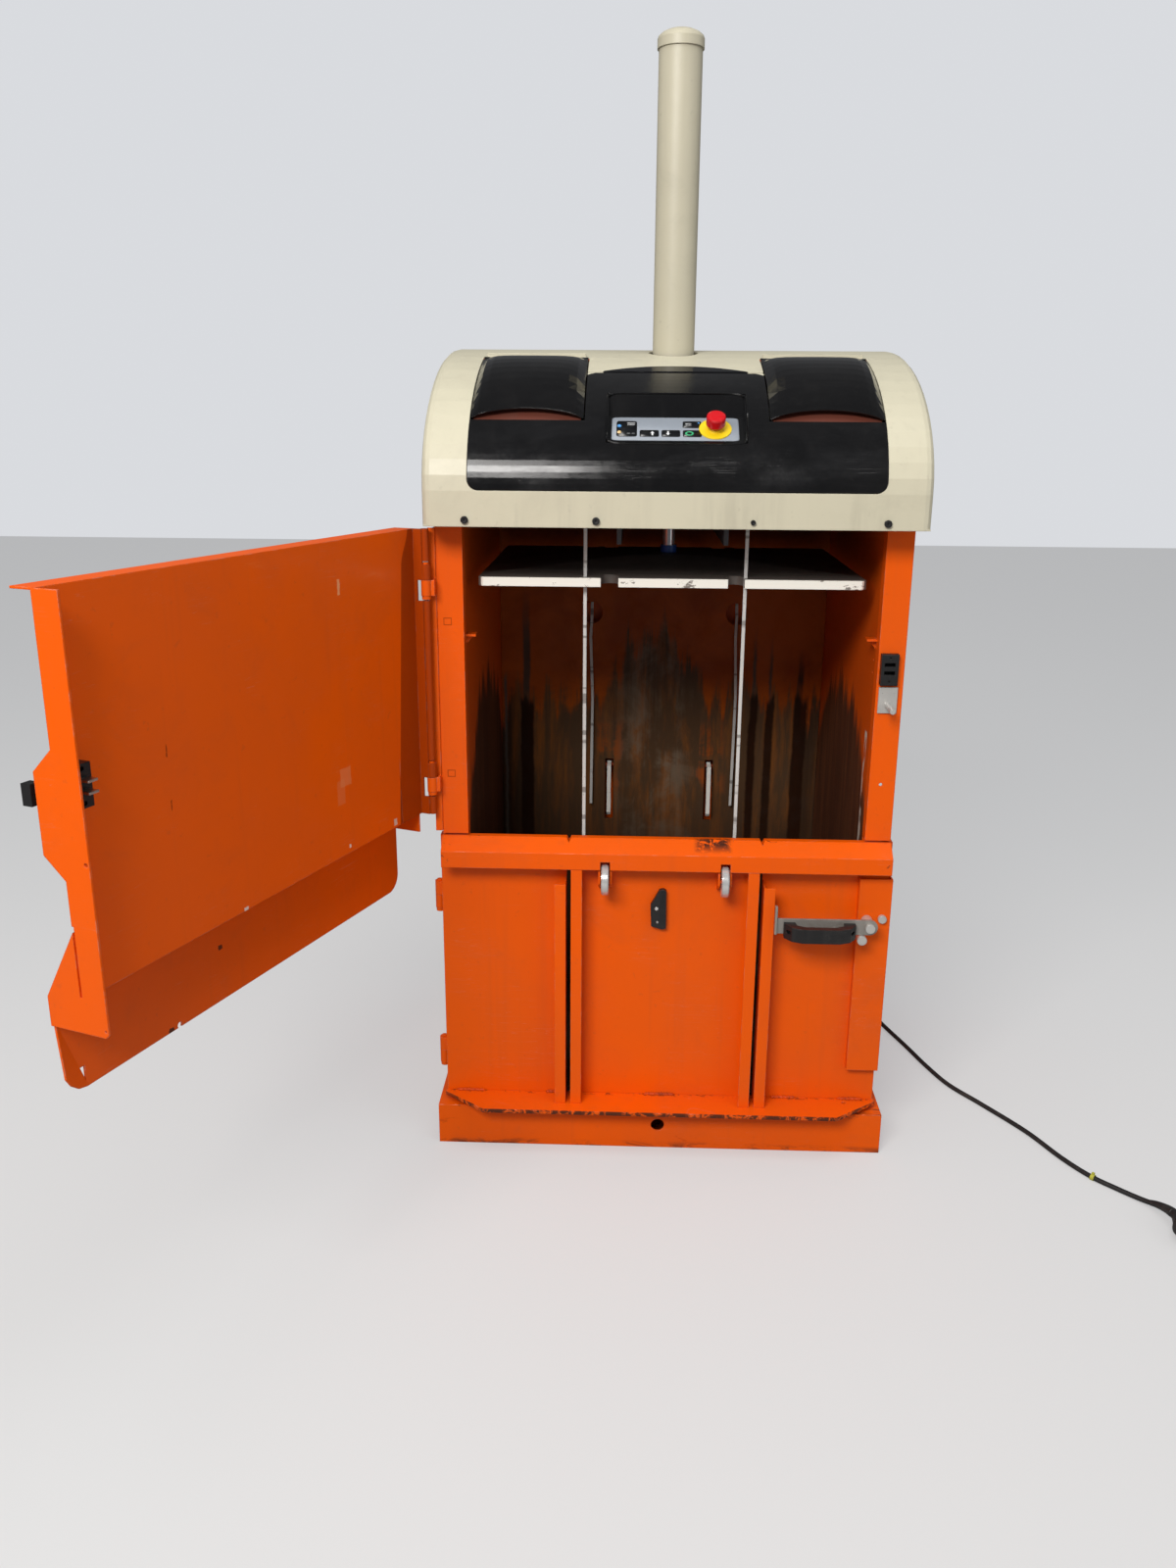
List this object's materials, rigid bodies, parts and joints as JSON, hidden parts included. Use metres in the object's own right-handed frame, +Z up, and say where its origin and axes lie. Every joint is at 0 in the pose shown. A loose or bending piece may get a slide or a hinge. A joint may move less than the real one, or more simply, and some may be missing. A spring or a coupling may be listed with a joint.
{
  "type": "recycling_baler",
  "caption": "Orange upright recycling baler with a beige hood, black control front, hydraulic platen, open upper door, closed lower door and a supply cord",
  "frame": {"origin": "middle of the base underside, on the floor", "axes": "X to the right across the front, Y to the back, Z up; metres"},
  "size_m": [1.6865, 1.4956, 1.949],
  "materials": {
    "orange_paint": "gloss",
    "orange_shade": "satin",
    "worn_steel": "worn",
    "beige_moulding": "satin",
    "tube_paint": "satin",
    "black_gloss": "gloss",
    "black_plastic": "satin",
    "dark_steel": "satin",
    "platen_paint": "worn",
    "pale_paint": "worn",
    "zinc": "satin",
    "bright_steel": "polished",
    "chrome": "polished",
    "strap_fabric": "woven",
    "rubber": "matte",
    "yellow_plastic": "gloss",
    "yellow_tie": "satin",
    "red_plastic": "gloss",
    "blue_paint": "satin",
    "box_grey": "satin"
  },
  "bodies": {
    "frame": {"plinth": "orange_paint", "floor_plate": "worn_steel", "left_side_frame": "orange_paint", "right_side_frame": "orange_paint", "rear_wall": "worn_steel", "rear_cover": "orange_paint", "cross_head": "dark_steel", "hinge_strip": "orange_shade", "hinge_pins": "zinc", "cylinder_barrel": "dark_steel", "cylinder_guard": "tube_paint", "guard_cap": "tube_paint", "hood_shell": "beige_moulding", "fascia_panel": "black_gloss", "control_plate": "black_plastic", "stop_base": "yellow_plastic", "frame_screws": "zinc", "oil_tank": "dark_steel", "pump_motor": "dark_steel", "hydraulic_pipes": "rubber", "control_box": "box_grey", "interlock_socket": "black_plastic", "striker_plate": "zinc", "spool_axles": "zinc", "straps": "strap_fabric", "claw_brackets": "orange_shade", "cable_gland": "black_plastic", "supply_cord": "rubber", "plug": "rubber", "cord_tie": "yellow_tie"},
    "upper_door": {"upper_door_panel": "orange_paint", "upper_door_skirt": "orange_paint", "upper_door_side": "orange_paint", "interlock_key": "zinc"},
    "latch": {"latch_lever": "black_plastic", "latch_hook": "zinc"},
    "lower_door": {"lower_door_panels": "orange_paint", "lip_beam": "orange_paint", "door_sill": "orange_paint", "latch_plate": "orange_paint", "strap_cutter": "black_plastic", "roller_brackets": "orange_paint", "door_bolts": "zinc"},
    "handle": {"handle_lever": "orange_paint", "handle_grip": "black_plastic"},
    "press": {"platen": "platen_paint", "press_rod": "chrome", "piston": "bright_steel", "rod_collar": "blue_paint"},
    "strap_roller_left": {"left_roller": "bright_steel"},
    "strap_roller_right": {"right_roller": "bright_steel"},
    "claw_left": {"left_claw": "pale_paint"},
    "claw_right": {"right_claw": "pale_paint"},
    "cover_left": {"left_cover": "black_gloss"},
    "cover_right": {"right_cover": "black_gloss"},
    "roll_outer_left": {"roll_1": "strap_fabric"},
    "roll_inner_left": {"roll_2": "strap_fabric"},
    "roll_inner_right": {"roll_3": "strap_fabric"},
    "roll_outer_right": {"roll_4": "strap_fabric"},
    "emergency_stop": {"stop_button": "red_plastic"}
  },
  "joints": [
    {"name": "upper_door_hinge", "type": "hinge", "parent": "frame", "child": "upper_door", "pos_m": [-0.409, -0.33, 0.9], "axis": [0, 0, -1], "range_deg": [-111, 9]},
    {"name": "latch_turn", "type": "hinge", "parent": "upper_door", "child": "latch", "pos_m": [-0.72985, -0.99841, 0.905], "axis": [0.9336, -0.3584, 0], "range_deg": [0, 35]},
    {"name": "lower_door_hinge", "type": "hinge", "parent": "frame", "child": "lower_door", "pos_m": [-0.409, -0.279, 0.35], "axis": [0, 0, -1], "range_deg": [0, 95]},
    {"name": "handle_lift", "type": "hinge", "parent": "lower_door", "child": "handle", "pos_m": [0.363, -0.348, 0.467], "axis": [0, 1, 0], "range_deg": [0, 80]},
    {"name": "press_slide", "type": "slide", "parent": "frame", "child": "press", "axis": [0, 0, -1], "range_m": [0, 0.48]},
    {"name": "left_roller_spin", "type": "hinge", "parent": "lower_door", "child": "strap_roller_left", "pos_m": [-0.106, -0.329, 0.541], "axis": [1, 0, 0], "continuous": true},
    {"name": "right_roller_spin", "type": "hinge", "parent": "lower_door", "child": "strap_roller_right", "pos_m": [0.106, -0.329, 0.541], "axis": [1, 0, 0], "continuous": true},
    {"name": "left_claw_swing", "type": "hinge", "parent": "frame", "child": "claw_left", "pos_m": [-0.111, 0.291, 0.578], "axis": [1, 0, 0], "range_deg": [0, 20], "stiffness_Nm_per_rad": 0.3, "springref_deg": -17.19},
    {"name": "right_claw_swing", "type": "hinge", "parent": "frame", "child": "claw_right", "pos_m": [0.111, 0.291, 0.578], "axis": [1, 0, 0], "range_deg": [0, 20], "stiffness_Nm_per_rad": 0.3, "springref_deg": -17.19},
    {"name": "left_cover_lift", "type": "hinge", "parent": "frame", "child": "cover_left", "pos_m": [-0.24, -0.10911, 1.422], "axis": [-1, 0, 0], "range_deg": [0, 75]},
    {"name": "right_cover_lift", "type": "hinge", "parent": "frame", "child": "cover_right", "pos_m": [0.24, -0.10911, 1.422], "axis": [-1, 0, 0], "range_deg": [0, 75]},
    {"name": "roll_1_spin", "type": "hinge", "parent": "frame", "child": "roll_outer_left", "pos_m": [-0.283, -0.16, 1.292], "axis": [1, 0, 0], "continuous": true},
    {"name": "roll_2_spin", "type": "hinge", "parent": "frame", "child": "roll_inner_left", "pos_m": [-0.195, -0.16, 1.292], "axis": [1, 0, 0], "continuous": true},
    {"name": "roll_3_spin", "type": "hinge", "parent": "frame", "child": "roll_inner_right", "pos_m": [0.195, -0.16, 1.292], "axis": [1, 0, 0], "continuous": true},
    {"name": "roll_4_spin", "type": "hinge", "parent": "frame", "child": "roll_outer_right", "pos_m": [0.283, -0.16, 1.292], "axis": [1, 0, 0], "continuous": true},
    {"name": "stop_press", "type": "slide", "parent": "frame", "child": "emergency_stop", "axis": [0, 0.5878, -0.809], "range_m": [0, 0.004], "stiffness_N_per_m": 900, "springref_m": -0.001}
  ]
}
